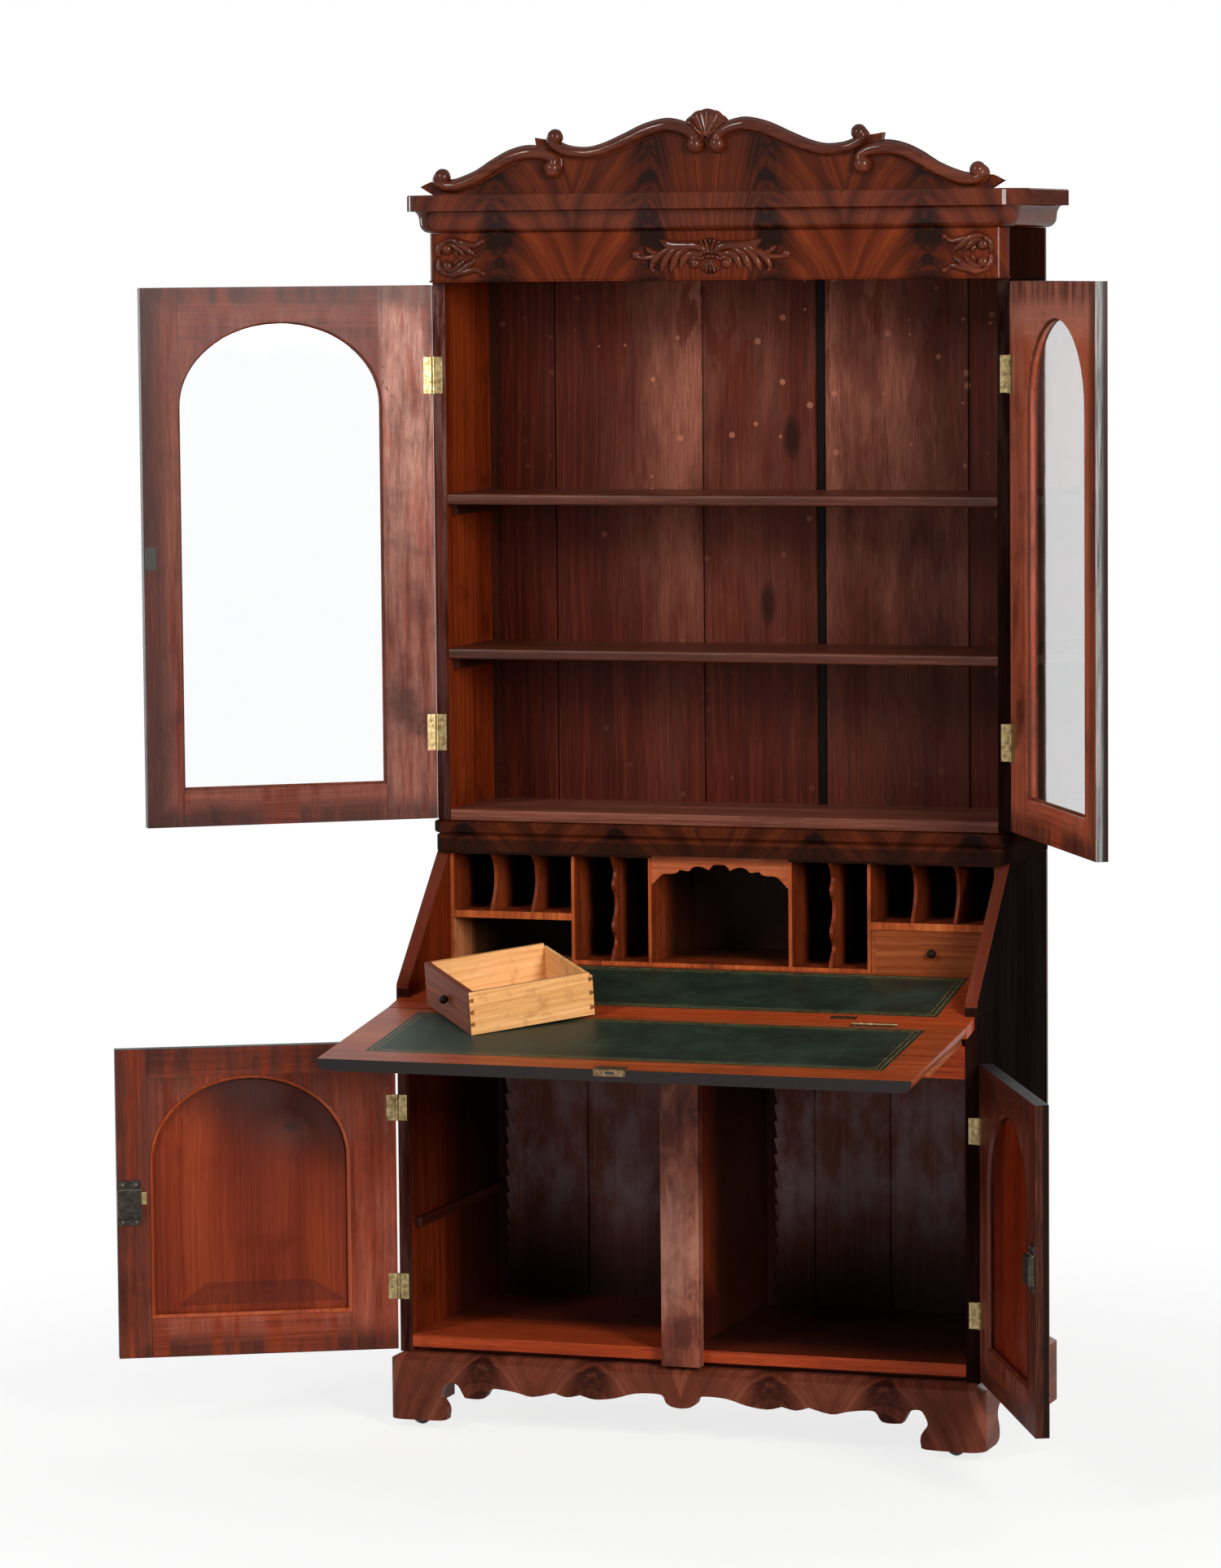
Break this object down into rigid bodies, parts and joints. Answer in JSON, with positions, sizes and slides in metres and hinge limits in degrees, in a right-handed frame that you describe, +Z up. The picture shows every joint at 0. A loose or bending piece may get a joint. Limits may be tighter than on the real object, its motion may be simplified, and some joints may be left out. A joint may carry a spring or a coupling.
{
  "type": "secretary bookcase",
  "caption": "Tall mahogany secretary bookcase: glazed bookcase with scrolled crest over a slant-front desk with pigeonholes, and a cupboard on a scalloped bracket base with casters.",
  "frame": {"origin": "on the floor, under the middle of the bounding box as the furniture stands with its doors and fall open", "axes": "+X to the right of someone facing the front, +Y towards the wall behind, +Z up; the doors and the fall open towards -Y"},
  "size_m": [1.7618, 0.908, 2.2705],
  "materials": {
    "mahogany": "polished red-brown mahogany, oil and wax finish",
    "flame_mahogany": "french-polished flame mahogany veneer, glossy",
    "interior_wood": "stained softwood and mahogany, satin",
    "drawer_wood": "waxed pale hardwood, satin",
    "green_leather": "dark green writing leather with gilt tooled lines",
    "glass": "clear flat glass",
    "brass": "aged brass",
    "iron": "dark iron",
    "caster_black": "black"
  },
  "bodies": {
    "case": {"crest_board": "flame_mahogany", "crest_moulding_left": "flame_mahogany", "crest_moulding_right": "flame_mahogany", "cornice": "flame_mahogany", "frieze": "flame_mahogany", "bookcase_side_left": "mahogany", "bookcase_side_right": "mahogany", "bookcase_back": "interior_wood", "bookcase_floor": "interior_wood", "shelf_high": "interior_wood", "shelf_low": "interior_wood", "shelf_rack_left": "interior_wood", "shelf_rack_right": "interior_wood", "desk_side_left": "mahogany", "desk_side_right": "mahogany", "desk_top": "flame_mahogany", "desk_back": "interior_wood", "cupboard_floor": "interior_wood", "cupboard_divider": "interior_wood", "centre_stile": "flame_mahogany", "writing_bed": "mahogany", "writing_bed_leather": "green_leather", "loper_rail": "mahogany", "bracket_base": "flame_mahogany", "pigeonhole_case": "interior_wood", "dust_board": "interior_wood"},
    "fall": {"fall_board": "mahogany", "fall_leather": "green_leather", "fall_hinge_left": "brass", "fall_hinge_right": "brass"},
    "loper_left": {"loper_left": "mahogany"},
    "drawer_left": {"drawer_left": "drawer_wood"},
    "upper_door_left": {"upper_door_frame_left": "mahogany", "upper_door_glass_left": "glass", "upper_hinge_left_high": "brass", "upper_hinge_left_low": "brass"},
    "lower_door_left": {"lower_door_frame_left": "mahogany", "lower_door_panel_left": "flame_mahogany", "lower_hinge_left_high": "brass", "lower_hinge_left_low": "brass", "rim_lock_left": "iron"},
    "loper_right": {"loper_right": "mahogany"},
    "drawer_right": {"drawer_right": "drawer_wood"},
    "upper_door_right": {"upper_door_frame_right": "mahogany", "upper_door_glass_right": "glass", "upper_hinge_right_high": "brass", "upper_hinge_right_low": "brass"},
    "lower_door_right": {"lower_door_frame_right": "mahogany", "lower_door_panel_right": "flame_mahogany", "lower_hinge_right_high": "brass", "lower_hinge_right_low": "brass", "rim_lock_right": "iron"},
    "caster_front_left": {"caster_fork_front_left": "caster_black"},
    "wheel_front_left": {"caster_wheel_front_left": "caster_black"},
    "caster_front_right": {"caster_fork_front_right": "caster_black"},
    "wheel_front_right": {"caster_wheel_front_right": "caster_black"},
    "caster_rear_left": {"caster_fork_rear_left": "caster_black"},
    "wheel_rear_left": {"caster_wheel_rear_left": "caster_black"},
    "caster_rear_right": {"caster_fork_rear_right": "caster_black"},
    "wheel_rear_right": {"caster_wheel_rear_right": "caster_black"}
  },
  "joints": [
    {"name": "upper_door_left_hinge", "type": "hinge", "parent": "case", "child": "upper_door_left", "pos_m": [-0.4386, 0.20571, 1.04], "axis": [0, 0, 1], "range_deg": [-34.8, 145.2]},
    {"name": "upper_door_right_hinge", "type": "hinge", "parent": "case", "child": "upper_door_right", "pos_m": [0.6018, 0.20571, 1.04], "axis": [0, 0, 1], "range_deg": [-120.2, 59.8]},
    {"name": "lower_door_left_hinge", "type": "hinge", "parent": "case", "child": "lower_door_left", "pos_m": [-0.4397, -0.01129, 0.1346], "axis": [0, 0, 1], "range_deg": [-27.6, 152.4]},
    {"name": "lower_door_right_hinge", "type": "hinge", "parent": "case", "child": "lower_door_right", "pos_m": [0.6029, -0.01129, 0.1346], "axis": [0, 0, 1], "range_deg": [-115.8, 64.2]},
    {"name": "fall_hinge", "type": "hinge", "parent": "case", "child": "fall", "pos_m": [0.0816, -0.06329, 0.7392], "axis": [-1, 0, 0], "range_deg": [0, 144.4]},
    {"name": "loper_slide_left", "type": "slide", "parent": "case", "child": "loper_left", "axis": [0, 0.9912, 0.1323], "range_m": [0, 0.187]},
    {"name": "loper_slide_right", "type": "slide", "parent": "case", "child": "loper_right", "axis": [0, 0.9912, 0.1323], "range_m": [0, 0.187]},
    {"name": "drawer_slide_right", "type": "slide", "parent": "case", "child": "drawer_right", "axis": [0, 1, 0], "range_m": [-0.2, 0]},
    {"name": "drawer_lift_left", "type": "slide", "parent": "case", "child": "drawer_left", "axis": [0, -0.5, 0.866], "range_m": [0, 1.02]},
    {"name": "caster_swivel_front_left", "type": "hinge", "parent": "case", "child": "caster_front_left", "pos_m": [-0.4004, 0.02201, 0.016], "axis": [0, 0, 1], "continuous": true},
    {"name": "wheel_roll_front_left", "type": "hinge", "parent": "caster_front_left", "child": "wheel_front_left", "pos_m": [-0.40843, 0.0131, 0.016], "axis": [0.7431, -0.6691, 0], "continuous": true},
    {"name": "caster_swivel_front_right", "type": "hinge", "parent": "case", "child": "caster_front_right", "pos_m": [0.5636, 0.02201, 0.016], "axis": [0, 0, 1], "continuous": true},
    {"name": "wheel_roll_front_right", "type": "hinge", "parent": "caster_front_right", "child": "wheel_front_right", "pos_m": [0.55441, 0.0143, 0.016], "axis": [0.6428, -0.766, 0], "continuous": true},
    {"name": "caster_swivel_rear_left", "type": "hinge", "parent": "case", "child": "caster_rear_left", "pos_m": [-0.4004, 0.40401, 0.016], "axis": [0, 0, 1], "continuous": true},
    {"name": "wheel_roll_rear_left", "type": "hinge", "parent": "caster_rear_left", "child": "wheel_rear_left", "pos_m": [-0.39532, 0.39314, 0.016], "axis": [0.9063, 0.4226, 0], "continuous": true},
    {"name": "caster_swivel_rear_right", "type": "hinge", "parent": "case", "child": "caster_rear_right", "pos_m": [0.5636, 0.40401, 0.016], "axis": [0, 0, 1], "continuous": true},
    {"name": "wheel_roll_rear_right", "type": "hinge", "parent": "caster_rear_right", "child": "wheel_rear_right", "pos_m": [0.5605, 0.39242, 0.016], "axis": [0.9659, -0.2588, 0], "continuous": true}
  ],
  "couplings": [
    {"joint": "drawer_lift_left", "follows": "fall_hinge", "m_per_rad": 0.4}
  ]
}
